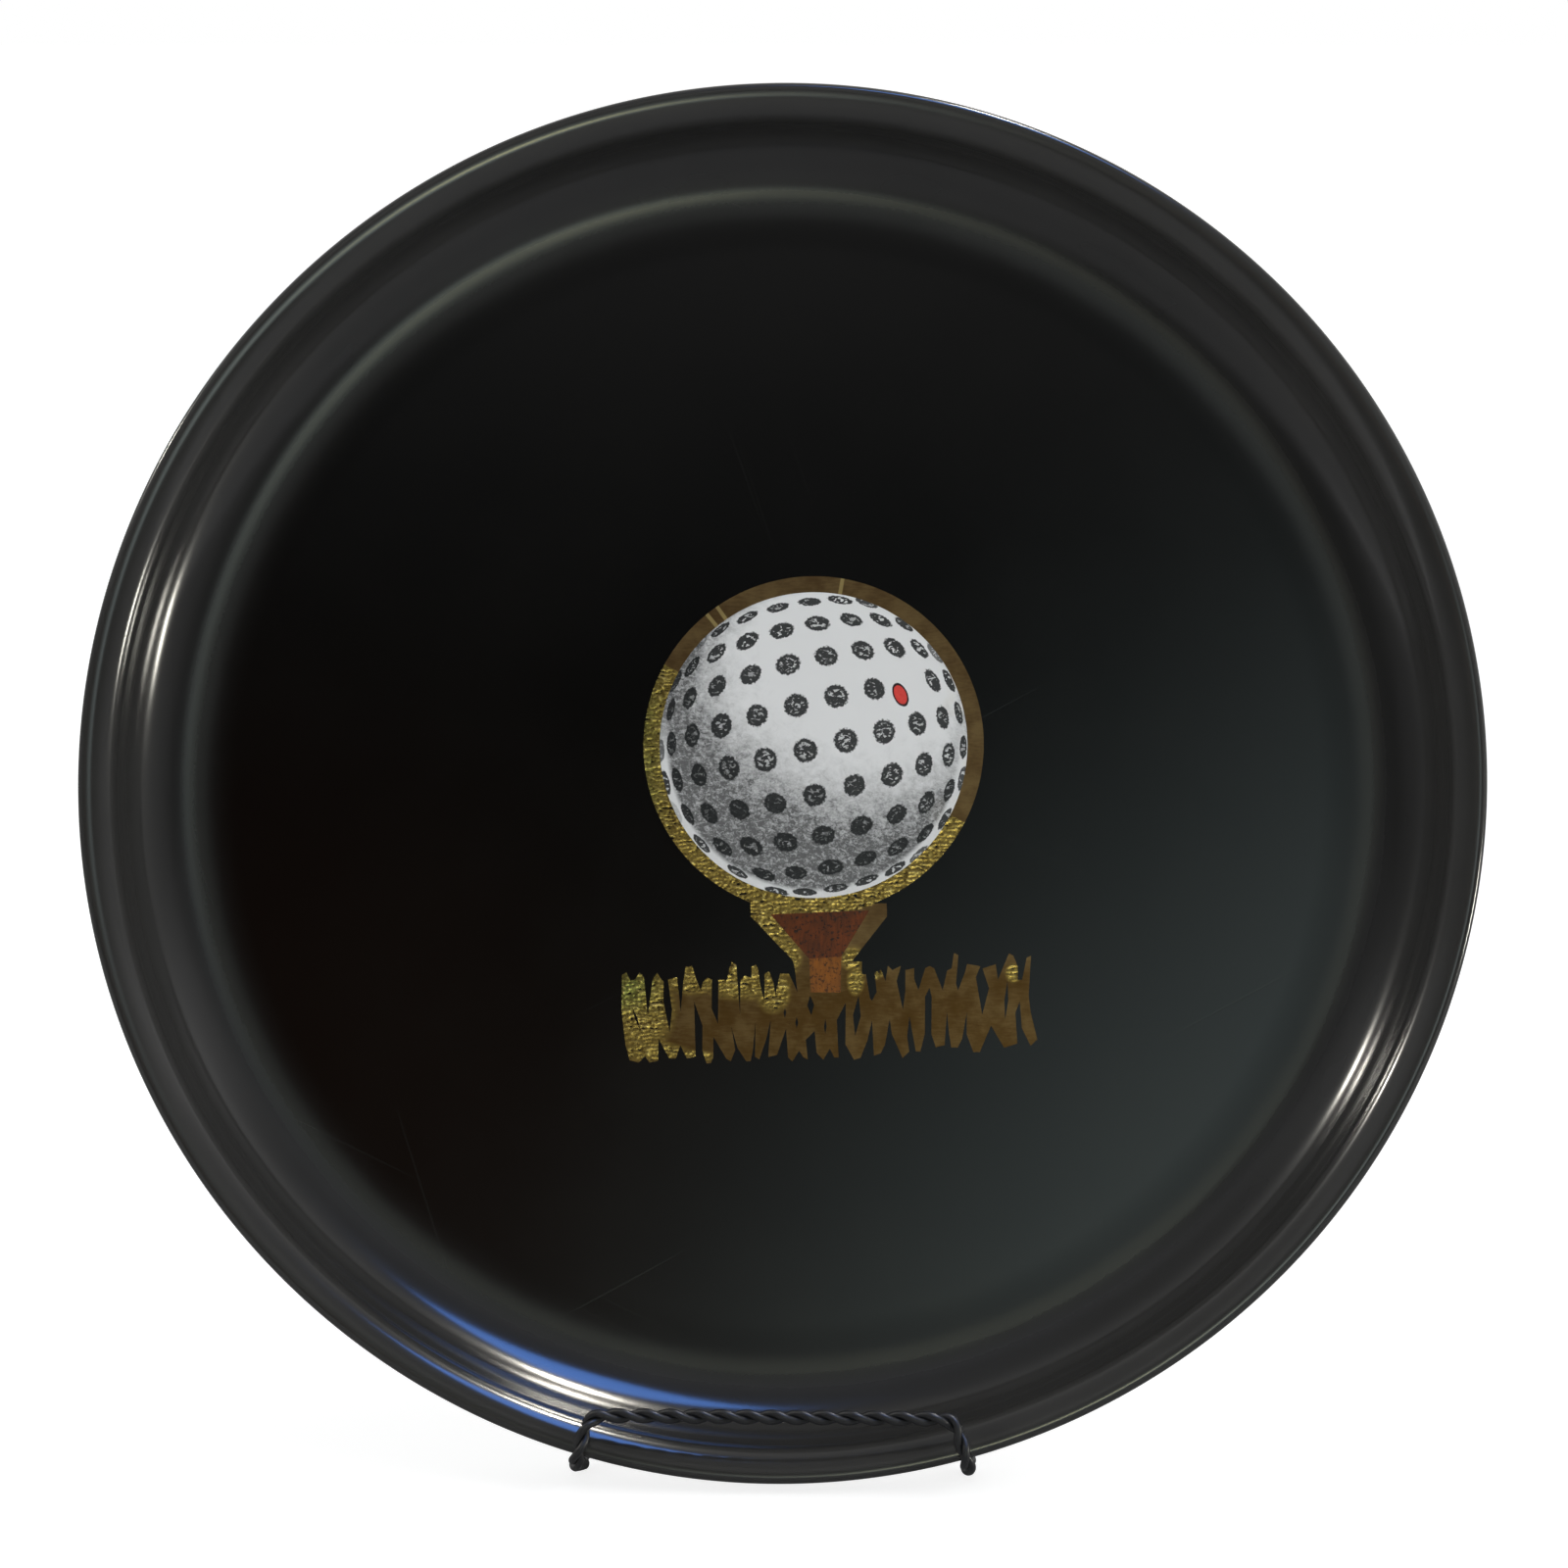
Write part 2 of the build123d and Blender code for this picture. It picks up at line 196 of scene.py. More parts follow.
# ---------------------------------------------------------------- materials
def resin():
    """Black phenolic resin: a satin well, a painted grey sheen on the rim, lighter at the crest, faint swirls and
    hairlines.
    """
    f = Finish("black_resin")
    x, y = f.along(across), f.along(upward)
    radius = length_of(x, y)
    rim = radius.step(well_r - 1 * MM, well_r + 4 * MM)
    smear = f.noise(45 * MM, detail=4.0, rough=0.6)
    haze = f.noise(0.9 * MM, detail=2.0)
    hairs = None
    for turn, seed in ((0.5, 3.0), (1.9, 11.0), (2.7, 23.0)):
        axis = across * cos(turn) + upward * sin(turn)
        side = upward * cos(turn) - across * sin(turn)
        at = f.vector(f.along(axis) * 9.0, f.along(side) * 1100.0, seed)
        line = f.noise(1.0, at=at, detail=1.0, twist=0.2).step(0.765, 0.80)
        hairs = line if hairs is None else hairs + line
    past_bend = radius.step(well_r + 2 * MM, well_r + 7 * MM)
    bend = radius.step(well_r - 5 * MM, well_r) * past_bend.flipped()
    rough = rim * 0.05 + bend * 0.15 + 0.11 + (smear - 0.5) * 0.06 + (haze - 0.5) * 0.02
    # painted sheen: the rim's grey, lighter towards the crest, stands in for the rim's reflections
    wear_and_sheen = radius.step(well_r - 9 * MM, well_r + 3 * MM) * (smear * 0.4 + 0.7)
    crest = radius.step(well_r + 8 * MM, well_r + 16 * MM)
    black = f.blend(smear, (0.0011, 0.0012, 0.0011), (0.0020, 0.0018, 0.0016))
    sheen_grey = f.blend(crest, (0.0165, 0.0163, 0.0158), (0.0300, 0.0295, 0.0280))
    f.set(Base_Color=f.blend(wear_and_sheen, black, sheen_grey), Roughness=rough + hairs * 0.05, IOR=1.5)
    grain = f.noise(0.35 * MM, detail=2.0)
    f.bump(grain * 0.25 + hairs * -0.12, 0.012 * MM)
    return f.material


def ball_print():
    """A golf ball drawn in charcoal: dimples on a sphere, shading and one red dot."""
    f = Finish("ball_print")
    centre = well_centre + across * ball_x + upward * ball_y
    px, py = f.along(across, centre) / ball_r, f.along(upward, centre) / ball_r
    r = length_of(px, py).math("MINIMUM", 0.9995).math("MAXIMUM", 0.0005)
    turn = r.math("ARCSINE") / r
    u, v = px * turn, py * turn * -1

    # the dimples stand on a slanted grid of these angles, seen on a sphere
    column_step, row_step = radians(15.6), radians(17.4)
    column_start, row_start = radians(-3.4), radians(1.4)
    column_slant, row_slant = radians(13.7), radians(12.1)
    grid_area = cos(column_slant - row_slant)
    a = (u * cos(row_slant) - v * sin(row_slant)) / grid_area
    b = (u * sin(column_slant) + v * cos(column_slant)) / grid_area
    column = ((a - column_start) / column_step).math("ROUND")
    row = ((b - row_start) / row_step).math("ROUND")
    a_mid, b_mid = column * column_step + column_start, row * row_step + row_start
    u_mid = a_mid * cos(column_slant) + b_mid * sin(row_slant)
    v_mid = b_mid * cos(row_slant) - a_mid * sin(column_slant)
    r_mid = length_of(u_mid, v_mid).math("MAXIMUM", 0.0005)
    x_way, y_way = u_mid / r_mid, v_mid / r_mid * -1
    fall = r_mid.math("SINE")
    dx, dy = px - x_way * fall, py - y_way * fall
    radial = (dx * x_way + dy * y_way) / r_mid.math("COSINE").math("MAXIMUM", 0.30)
    around = dx * y_way - dy * x_way
    fine = f.noise(0.55 * MM, detail=2.0)
    each = f.noise(1.0, at=f.vector(column * 7.31, row * 5.17), detail=0.0)
    away = length_of(radial, around) + (fine - 0.5) * 0.036
    dimple_r = 0.0815
    size = (each - 0.5) * 0.020 + dimple_r
    inside = (away / size).step(0.88, 1.04).flipped()
    middle = (away / size).step(0.52, 0.78).flipped()
    on_ball = r_mid.step(1.42, 1.50).flipped()
    # no dimple where the dot is
    free = ((column - 3).math("ABSOLUTE") + (row + 1).math("ABSOLUTE")).step(0.2, 0.8)
    strokes = f.noise(1.0, at=f.vector(px * 27 + py * 14, py * 41 - px * 9), detail=2.0, twist=0.9)
    gaps = middle * strokes.step(0.54, 0.60) * (each * 1.1 + 0.10)
    ink = inside * gaps.flipped().math("MAXIMUM", 0.0) * on_ball * free

    # charcoal shading, lit from the upper right
    bulge = (r * r).flipped().math("SQRT")
    lit = px * 0.31 + py * 0.66 + bulge * 0.72
    rim_light = r.step(0.925, 0.965) * py.step(-0.15, 0.25).flipped()
    smudge = f.noise(3.4 * MM, detail=5.0, rough=0.65, twist=0.5)
    rubbed = f.noise(1.0, at=f.vector(px * 26 + py * 6, py * 34), detail=5.0, rough=0.72, twist=0.7)
    grit = f.noise(1.0, at=f.vector(px * 70, py * 96), detail=3.0, rough=0.7, twist=0.8)
    tone = lit + (smudge - 0.5) * 0.50
    dark = tone.step(0.12, 0.80).flipped()
    texture = rubbed.step(0.30, 0.66) * 0.62 + grit.step(0.30, 0.70) * 0.40 + 0.28
    dark = (dark * texture * 1.12).math("MINIMUM", 1.0)
    dark = dark * (rim_light * -0.88 + 1) * 0.92
    paper = f.blend(dark, (0.75, 0.755, 0.76), (0.058, 0.059, 0.060))
    stain = f.noise(9 * MM, detail=2.0).step(0.55, 0.75) * px.step(0.7, 1.0) * 0.35
    paper = f.blend(stain, paper, (0.55, 0.47, 0.30))
    drawn = f.blend(ink * 0.96, paper, (0.009, 0.010, 0.011))

    # the red dot with its dark outline
    dot_x, dot_y = (26.9 * MM - ball_x) / ball_r, (20.1 * MM - ball_y) / ball_r
    dot_turn, dot_long, dot_wide = radians(-66), 0.081, 0.046
    long_way = (px - dot_x) * cos(dot_turn) + (py - dot_y) * sin(dot_turn)
    wide_way = (py - dot_y) * cos(dot_turn) - (px - dot_x) * sin(dot_turn)
    dot = length_of(long_way / dot_long, wide_way / dot_wide) + (fine - 0.5) * 0.08
    drawn = f.blend(dot.step(0.97, 1.06).flipped(), drawn, (0.022, 0.010, 0.012))
    red = f.blend(fine, (0.56, 0.035, 0.030), (0.72, 0.075, 0.060))
    drawn = f.blend(dot.step(0.76, 0.85).flipped(), drawn, red)
    f.set(Base_Color=drawn, Roughness=fine * 0.06 + 0.18, IOR=1.45)
    f.bump(f.noise(0.25 * MM, detail=2.0), 0.006 * MM)
    return f.material


def foil():
    """Brass foil: brown and smooth, or gold where it is crinkled, with a painted highlight on its ridges and
    painted shade in its pits.
    """
    f = Finish("brass_foil")
    x, y, h = f.along(across), f.along(upward), f.along(outward)
    crinkle = f.painted("crinkle")
    cloud = f.noise(6 * MM, detail=4.0, rough=0.6)
    streak = f.noise(1.0, at=f.vector(x * 420, y * 1900), detail=3.0, rough=0.6)
    spots = f.noise(0.8 * MM, detail=3.0, rough=0.6)
    tarnish = (cloud * 0.65 + streak * 0.35).step(0.34, 0.66)
    plain = f.blend(tarnish, (0.108, 0.062, 0.028), (0.185, 0.118, 0.054))
    low = y.step(-46 * MM, -38 * MM).flipped()
    plain = f.blend(low * (tarnish * -0.5 + 0.9), plain, (0.082, 0.042, 0.012))
    green = (x.step(-35 * MM, -24 * MM).flipped()) * y.step(-56 * MM, -48 * MM)
    gold = f.blend(green * 0.8, (0.34, 0.235, 0.066), (0.20, 0.235, 0.066))
    gold = f.blend(cloud.step(0.35, 0.65) * 0.5, gold, (0.24, 0.160, 0.045))
    height = h / (0.05 * MM)
    # painted highlight on the crinkled gold's ridge tops, painted shade in its pits
    pit_shade, ridge = height.step(-0.9, 1.0).flipped() * 0.5, height.step(0.5, 1.3) * 0.7
    gold = f.blend(pit_shade * spots.step(0.20, 0.60), gold, (0.070, 0.052, 0.018))
    gold = f.blend(ridge, gold, (0.62, 0.47, 0.17))
    colour = f.blend(crinkle, plain, gold)
    # the strips overlap in narrow bright seams
    from_x, from_y = x - ball_x, y - ball_y
    for seam in (radians(80.6), radians(125.2), radians(129.5)):
        beside = (from_y * cos(seam) - from_x * sin(seam)).math("ABSOLUTE")
        ahead = (from_x * cos(seam) + from_y * sin(seam)).step(0, 1 * MM)
        strip = beside.step(0.30 * MM, 0.55 * MM).flipped() * ahead * 0.8
        colour = f.blend(strip, colour, (0.48, 0.35, 0.15))
    f.set(Base_Color=colour, Metallic=1.0, Roughness=spots * 0.14 + 0.24 + crinkle * -0.05)
    f.bump(streak * 0.6 + spots * 0.4, 0.012 * MM)
    return f.material


def tee_wood(name, light, dark, speck):
    """Red-brown wood, polished: fine grain down the tee and dark specks."""
    f = Finish(name)
    x, y = f.along(across), f.along(upward)
    grain = f.noise(1.0, at=f.vector(x * 1500, y * 260), detail=4.0, rough=0.6, twist=0.4)
    specks = f.noise(0.75 * MM, detail=3.0, rough=0.75)
    cloud = f.noise(5 * MM, detail=3.0)
    colour = f.blend((grain * 0.55 + cloud * 0.45).step(0.30, 0.70), light, dark)
    colour = f.blend(specks.step(0.53, 0.62) * 0.85, colour, speck)
    f.set(Base_Color=colour, Roughness=specks * 0.08 + 0.14, IOR=1.45)
    f.bump(grain * 0.5 + specks * 0.5, 0.010 * MM)
    return f.material


def paint(name, colour, wear_and_sheen, rough, grain=0.9 * MM):
    """Black paint on wire: orange peel, dulled and rubbed in places."""
    f = Finish(name)
    peel = f.noise(grain, detail=3.0)
    rubbed = f.noise(6 * MM, detail=5.0, rough=0.7).step(0.56, 0.70)
    f.set(
        Base_Color=f.blend(rubbed * 0.8, colour, wear_and_sheen),
        Roughness=rubbed * 0.14 + peel * 0.10 + rough,
    )
    f.bump(peel, 0.03 * MM)
    return f.material


def pale_floor():
    """Plain pale matte floor with a barely visible mottle, brighter to the eye than in reflections."""
    f = Finish("pale_floor")
    mottle = f.noise(0.25, detail=3.0)
    pale = f.blend(mottle, (0.37, 0.37, 0.37), (0.39, 0.39, 0.39))
    f.set(Base_Color=pale, Roughness=mottle * 0.1 + 0.6)
    seen = Value(f.tree, f.tree.nodes.new("ShaderNodeLightPath").outputs["Is Camera Ray"])
    f.set(Emission_Color=(1.0, 1.0, 1.0), Emission_Strength=seen * 0.78)
    return f.material


black_wire = paint("black_wire", (0.010, 0.010, 0.011), (0.030, 0.029, 0.028), 0.36)
black_rod = paint("black_rod", (0.012, 0.012, 0.013), (0.040, 0.039, 0.037), 0.32)
brass_foil = foil()
cup_wood = tee_wood("cup_wood", (0.135, 0.030, 0.004), (0.050, 0.013, 0.003), (0.010, 0.004, 0.002))
stem_wood = tee_wood("stem_wood", (0.25, 0.080, 0.007), (0.115, 0.040, 0.006), (0.026, 0.010, 0.003))


# ---------------------------------------------------------------- foil geometry
def outline_of(node):
    """The boundary of the node's flush top face in the tray's plane: points and edges."""
    work = bmesh.new()
    work.from_mesh(frame["nodes"][node].data)
    work.transform(tray_frame.inverted())
    bmesh.ops.remove_doubles(work, verts=work.verts, dist=1e-6)
    work.normal_update()
    top = {face for face in work.faces if face.normal.z > 0.9}
    edges = [edge for edge in work.edges if sum(face in top for face in edge.link_faces) == 1]
    verts = sorted({vert for edge in edges for vert in edge.verts}, key=lambda vert: vert.index)
    number = {vert: i for i, vert in enumerate(verts)}
    points = [Vector(vert.co[:2]) for vert in verts]
    pairs = [(number[edge.verts[0]], number[edge.verts[1]]) for edge in edges]
    work.free()
    return points, pairs


def divided(points, pairs, spacing):
    """The same outline with no edge longer than the spacing."""
    points, finer = list(points), []
    for start, end in pairs:
        steps = max(1, round((points[end] - points[start]).length / spacing))
        chain = [start]
        for step in range(1, steps):
            points.append(points[start].lerp(points[end], step / steps))
            chain.append(len(points) - 1)
        chain.append(end)
        finer += list(zip(chain, chain[1:]))
    return points, finer


def inside(spots, points, pairs):
    """Which spots lie inside the outline, by counting crossings."""
    hit = np.zeros(len(spots), bool)
    for start, end in pairs:
        (ax, ay), (bx, by) = points[start], points[end]
        if ay == by:
            continue
        spans = (spots[:, 1] > ay) != (spots[:, 1] > by)
        hit ^= spans & (spots[:, 0] < ax + (spots[:, 1] - ay) * (bx - ax) / (by - ay))
    return hit


def triangles(points, pairs, spots):
    """A triangulation inside the outline through all the spots."""
    flat = [Vector(point) for point in points] + [Vector(spot) for spot in spots]
    verts, _, faces, _, _, _ = geometry.delaunay_2d_cdt(flat, pairs, [], 0, 1e-9)
    middles = np.array([sum((verts[i] for i in face), Vector((0, 0))) / 3 for face in faces])
    return verts, [face for face, keep in zip(faces, inside(middles, points, pairs)) if keep]


def foil_sheet(name, node, spacing=0.27 * MM):
    """A foil piece on the node's outline, its top raised by the relief, closed underneath."""
    points, pairs = outline_of(node)
    coarse = list(points), list(pairs)
    points, pairs = divided(points, pairs, spacing)
    low = np.array(points).min(0)
    high = np.array(points).max(0)
    columns = np.arange(low[0], high[0], spacing)
    rows = np.arange(low[1], high[1], spacing * sqrt(3) / 2)
    grid = np.array([(x + (i % 2) * spacing / 2, y) for i, y in enumerate(rows) for x in columns])
    grid = grid[inside(grid, *coarse)]
    ends = np.array([points[i] for i, _ in pairs])
    gap = np.array([np.min(np.hypot(*(ends - spot).T)) for spot in grid])
    grid = grid[gap > spacing * 0.5]
    verts, faces = triangles(points, pairs, grid)
    bottom = -0.5 * MM
    mesh = bpy.data.meshes.new(name)
    work = bmesh.new()
    crinkle = work.verts.layers.float.new("crinkle")
    top = [work.verts.new((v.x, v.y, relief(v.x, v.y))) for v in verts]
    for vert in top:
        vert[crinkle] = crinkle_share(vert.co.x, vert.co.y)
    for face in faces:
        corners = [top[i] for i in face]
        a, b, c = (corner.co.xy for corner in corners)
        if (b - a).cross(c - a) < 0:
            corners.reverse()
        work.faces.new(corners)
    border = [edge for edge in work.edges if edge.is_boundary]
    skirt = bmesh.ops.extrude_edge_only(work, edges=border)["geom"]
    for vert in (item for item in skirt if isinstance(item, bmesh.types.BMVert)):
        vert.co.z = bottom
    rim = [item for item in skirt if isinstance(item, bmesh.types.BMEdge)]
    bmesh.ops.triangle_fill(work, edges=rim, use_beauty=True, use_dissolve=False)
    loose = [vert for vert in work.verts if not vert.link_faces]
    bmesh.ops.delete(work, geom=loose, context="VERTS")
    bmesh.ops.recalc_face_normals(work, faces=work.faces)
    work.transform(tray_frame)
    work.to_mesh(mesh)
    work.free()
    mesh.shade_smooth()
    mesh.set_sharp_from_angle(angle=radians(55))
    piece = bpy.data.objects.new(name, mesh)
    bpy.context.scene.collection.objects.link(piece)
    mesh.materials.append(brass_foil)
    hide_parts(node)
    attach(piece, "tray")


# the foil is crinkled round the ball between these angles, and inside these ovals (middle and
# half-widths, mm), which fade out at their edges; it is smooth elsewhere
ring_crinkle_from, ring_crinkle_to = radians(152), radians(333)
oval_end, oval_fade = 1.25, 0.55
crinkle_ovals = [
    (-3.5, -33.0, 7.0, 10.0), (1.0, -40.0, 3.6, 4.5), (16.6, -40.5, 2.6, 2.6), (17.2, -45.5, 1.8, 3.0),
    (-31.5, -52.0, 7.0, 9.0), (-20.0, -45.0, 6.5, 3.6), (-8.5, -45.0, 9.5, 4.6), (-1.5, -48.0, 3.6, 4.5),
    (-29.0, -62.0, 7.0, 2.2), (-19.0, -63.0, 4.0, 1.4), (21.5, -43.5, 2.0, 1.5), (53.0, -43.5, 1.6, 2.0),
]


def crinkle_share(x, y):
    """How crinkled the foil is at a point of the well, from 0 to 1."""
    from_ball = hypot(x - ball_x, y - ball_y)
    angle = atan2(y - ball_y, x - ball_x) % (2 * pi)
    share = 0.0
    if from_ball < ring_r + 0.2 * MM and ring_crinkle_from < angle < ring_crinkle_to:
        share = 1.0
    for mid_x, mid_y, half_x, half_y in crinkle_ovals:
        reach = hypot((x / MM - mid_x) / half_x, (y / MM - mid_y) / half_y)
        share = max(share, min(1.0, max(0.0, (oval_end - reach) / oval_fade)))
    return share


def relief(x, y):
    """Height of the foil: short ridges lying across, and a faint waviness where it is smooth."""
    u, v = x / MM, y / MM
    warp = noise.noise(Vector((u * 0.5, v * 0.5, 4.0))) * 0.9
    ridge = noise.noise(Vector((u * 0.55 + warp, v * 2.3 + u * 0.30 + warp, 0.0)))
    fine = noise.noise(Vector((u * 1.5, v * 3.6, 9.0)))
    wave = noise.noise(Vector((u * 0.35, v * 0.35, 17.0)))
    share = crinkle_share(x, y)
    return (share * (ridge * 0.085 + fine * 0.045) + wave * 0.012) * MM + 0.015 * MM


foil_nodes = [part["node"] for part in record["subparts"] if part["material_slot"] == "brass_foil"]
for node in foil_nodes:
    foil_sheet(f"{node}_foil", node)


# ---------------------------------------------------------------- the tray's shell
def arc(middle_x, middle_y, radius, start, end, steps):
    """Points of an arc in the shell's section, angles in degrees from straight down."""
    turns = (radians(start + (end - start) * i / steps) for i in range(steps + 1))
    return [(middle_x + radius * sin(turn), middle_y - radius * cos(turn)) for turn in turns]


def tray_shell():
    """The moulded shell turned about its axis: flat well, S-curved rim and rounded edge."""
    wall, rim_rise, foot_share = 3.0 * MM, 18.5 * MM, 0.69
    edge_r = wall / 2
    # the inlays stand this much proud of the well, as worn ones do
    below = 0.02 * MM
    run = tray_r - edge_r - well_r
    slope = 2 * degrees(atan(rim_rise / run))
    radii = run / sin(radians(slope))
    hollow_r = radii * foot_share
    crest_r = radii - hollow_r
    crest_x, crest_y = tray_r - edge_r, rim_rise - crest_r
    well_rings = 12
    flat_radii = [ring * well_r / well_rings for ring in range(1, well_rings)]
    section = [(radius, 0) for radius in flat_radii]
    section += arc(well_r, hollow_r, hollow_r, 0, slope, 26)
    section += arc(crest_x, crest_y, crest_r, slope - 180, -180, 18)[1:]
    section += arc(crest_x, rim_rise - edge_r, edge_r, 180, 0, 12)[1:]
    section += arc(crest_x, crest_y, crest_r - wall, -180, slope - 180, 10)[1:]
    section += arc(well_r, hollow_r, hollow_r + wall, slope, 0, 22)[1:]
    section += [(radius, -wall) for radius in reversed(flat_radii)]
    sides = 960
    work = bmesh.new()
    rings = []
    for x, y in section:
        height = y - below if y == 0 else y
        rings.append([
            work.verts.new((x * cos(2 * pi * i / sides), x * sin(2 * pi * i / sides), height))
            for i in range(sides)
        ])
    for first, second in zip(rings, rings[1:]):
        for i in range(sides):
            work.faces.new((first[i - 1], second[i - 1], second[i], first[i]))
    work.faces.new(rings[0])
    work.faces.new(rings[-1][::-1])
    bmesh.ops.recalc_face_normals(work, faces=work.faces)
    work.transform(tray_frame)
    mesh = bpy.data.meshes.new("tray_shell")
    work.to_mesh(mesh)
    work.free()
    mesh.shade_smooth()
    mesh.materials.append(resin())
    piece = bpy.data.objects.new("tray_shell", mesh)
    bpy.context.scene.collection.objects.link(piece)
    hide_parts("tray_body")
    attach(piece, "tray")


tray_shell()


# ---------------------------------------------------------------- twisted wire
def rounded(corners, radius, piece_length=0.5 * MM):
    """Points a small step apart along straight runs joined by arcs of one radius."""
    corners = [Vector(corner) for corner in corners]
    route = [corners[0]]
    for before, corner, after in zip(corners, corners[1:], corners[2:]):
        back, on = (before - corner).normalized(), (after - corner).normalized()
        half = back.angle(on) / 2
        cut = radius / tan(half)
        middle = corner + (back + on).normalized() * (radius / sin(half))
        start, end = corner + back * cut, corner + on * cut
        turn = (start - middle).angle(end - middle)
        steps = max(4, round(radius * turn / piece_length))
        for i in range(steps + 1):
            done = turn * i / steps
            spoke = (start - middle) * sin(turn - done) + (end - middle) * sin(done)
            route.append(middle + spoke / sin(turn))
    route.append(corners[-1])
    fine = [route[0]]
    for start, end in zip(route, route[1:]):
        steps = max(1, round((end - start).length / piece_length))
        fine += [start.lerp(end, i / steps) for i in range(1, steps + 1)]
    return fine


def twisted_wire(name, route, body, nodes, pitch, start_turn=0.0):
    """Two round strands twisted about a route, run together by paint, inside the wire's radius."""
    strand_r, strand_out, sides = 0.52 * wire_r, 0.48 * wire_r, 14
    tangents = [(b - a).normalized() for a, b in zip([route[0], *route], [*route[1:], route[-1]])]
    tangents[0] = (route[1] - route[0]).normalized()
    tangents[-1] = (route[-1] - route[-2]).normalized()
    normal = tangents[0].orthogonal().normalized()
    work = bmesh.new()
    rings = ([], [])
    gone = 0.0
    for i, (point, tangent) in enumerate(zip(route, tangents)):
        if i:
            gone += (point - route[i - 1]).length
            normal = (normal - tangent * normal.dot(tangent)).normalized()
        side = tangent.cross(normal)
        for strand in (0, 1):
            twist = 2 * pi * gone / pitch + start_turn + strand * pi
            axis = normal * cos(twist) + side * sin(twist)
            middle = point + axis * strand_out
            other = tangent.cross(axis)
            # a strand leans with the twist, so its section across the rope is a little wide
            wide = strand_r / cos(atan(2 * pi * strand_out / pitch))
            ring = [
                work.verts.new(middle + axis * (strand_r * cos(t)) + other * (wide * sin(t)))
                for t in (2 * pi * k / sides for k in range(sides))
            ]
            rings[strand].append(ring)
    for strand in rings:
        for first, second in zip(strand, strand[1:]):
            for k in range(sides):
                work.faces.new((first[k], first[k - 1], second[k - 1], second[k]))
        work.faces.new(strand[0])
        work.faces.new(strand[-1][::-1])
    bmesh.ops.recalc_face_normals(work, faces=work.faces)
    mesh = bpy.data.meshes.new(name)
    work.to_mesh(mesh)
    work.free()
    mesh.shade_smooth()
    mesh.set_sharp_from_angle(angle=radians(60))
    piece = bpy.data.objects.new(name, mesh)
    bpy.context.scene.collection.objects.link(piece)
    mesh.materials.append(black_wire)
    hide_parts(*nodes)
    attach(piece, body)


half_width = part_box("front_frame")[1].x - wire_r
frame_h, arch_y, weld_h = -5.0 * MM, 24.0 * MM, 8.0 * MM
contact_gap = 0.3 * MM
arm_y = -sqrt((tray_r + contact_gap + wire_r) ** 2 - half_width ** 2)
lip_h, lip_y, lip_half, wire_bend = 23.5 * MM, -144.0 * MM, 40.5 * MM, 4.5 * MM
twist_pitch = 11.3 * MM


def in_tray(*corners):
    return [tray_frame @ Vector(corner) for corner in corners]


def frame_side(side):
    """From the weld under the tray's edge, round the lower bend and up to the arch."""
    x = side * half_width
    return rounded(in_tray((x, arm_y, weld_h), (x, arm_y, frame_h), (x, arch_y, frame_h)), wire_bend)


arch_steps = 272
arch = in_tray(*(
    (-half_width * cos(pi * i / arch_steps), arch_y + half_width * sin(pi * i / arch_steps), frame_h)
    for i in range(1, arch_steps)
))
frame_route = frame_side(-1) + arch + frame_side(1)[::-1]
twisted_wire("front_frame_twist", frame_route, "stand", ["front_frame"], twist_pitch)
ledge_route = rounded(in_tray(
    (-half_width, arm_y, weld_h), (-half_width, arm_y, lip_h), (-lip_half, lip_y, lip_h),
    (lip_half, lip_y, lip_h), (half_width, arm_y, lip_h), (half_width, arm_y, weld_h),
), wire_bend)
twisted_wire("ledge_twist", ledge_route, "stand", ["ledge"], twist_pitch, start_turn=0.9)

hinge = Vector(joints["leg_fold"]["pos_m"])
leg_splay, leg_corner = radians(20), 14.0 * MM
leg_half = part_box("back_leg")[1].x - wire_r
leg_down = Vector((0, sin(leg_splay), -cos(leg_splay)))
leg_length = (hinge.z - wire_r) / cos(leg_splay)
leg_start = 1.5 * MM
leg_corners = [
    hinge + across * side * leg_half + leg_down * reach
    for side, reach in ((-1, leg_start), (-1, leg_length), (1, leg_length), (1, leg_start))
]
twisted_wire("back_leg_twist", rounded(leg_corners, leg_corner), "back_leg", ["back_leg"], twist_pitch)


# ---------------------------------------------------------------- CAD nodes that stay
def dress(nodes, material):
    """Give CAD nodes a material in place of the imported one."""
    for name in nodes:
        mesh = frame["nodes"][name].data
        mesh.materials.clear()
        mesh.materials.append(material)


dress(["ball_disc"], ball_print())
dress(["tee_cup"], cup_wood)
dress(["tee_stem"], stem_wood)
dress(["hinge_rod", "leg_bail", "leg_eye_left", "leg_eye_right"], black_rod)


# ---------------------------------------------------------------- studio
floor_mesh = bpy.data.meshes.new("studio_floor")
floor_half = 30.0
floor_mesh.from_pydata(
    [(-floor_half, -floor_half, 0), (floor_half, -floor_half, 0),
     (floor_half, floor_half, 0), (-floor_half, floor_half, 0)], [], [(0, 1, 2, 3)],
)
floor_mesh.materials.append(pale_floor())
studio_floor = bpy.data.objects.new("studio_floor", floor_mesh)
bpy.context.scene.collection.objects.link(studio_floor)


